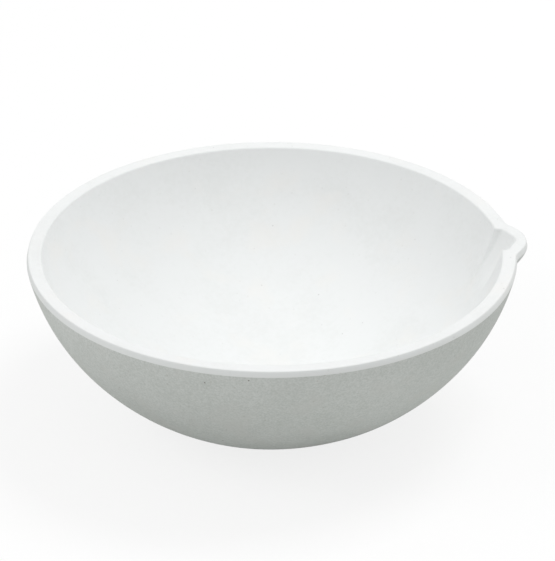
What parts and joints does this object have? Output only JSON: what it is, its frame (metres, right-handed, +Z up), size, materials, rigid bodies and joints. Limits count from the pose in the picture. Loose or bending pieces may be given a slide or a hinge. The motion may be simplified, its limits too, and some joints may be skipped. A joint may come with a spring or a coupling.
{
  "type": "foundry crucible, open dish form",
  "caption": "Shallow round ceramic melting dish with a flat rim, a bevel under it, a small flat foot and a pouring lip.",
  "frame": {"origin": "centre of the flat foot, on the surface that the dish stands on", "axes": "+Z up along the bowl's axis, +X towards the pouring lip, +Y to the left seen from above with the lip ahead"},
  "size_m": [0.1078, 0.105, 0.038],
  "materials": {
    "silica_ceramic": "matt, fine-grained, unglazed"
  },
  "bodies": {
    "root": {"crucible": "silica_ceramic"}
  },
  "joints": []
}
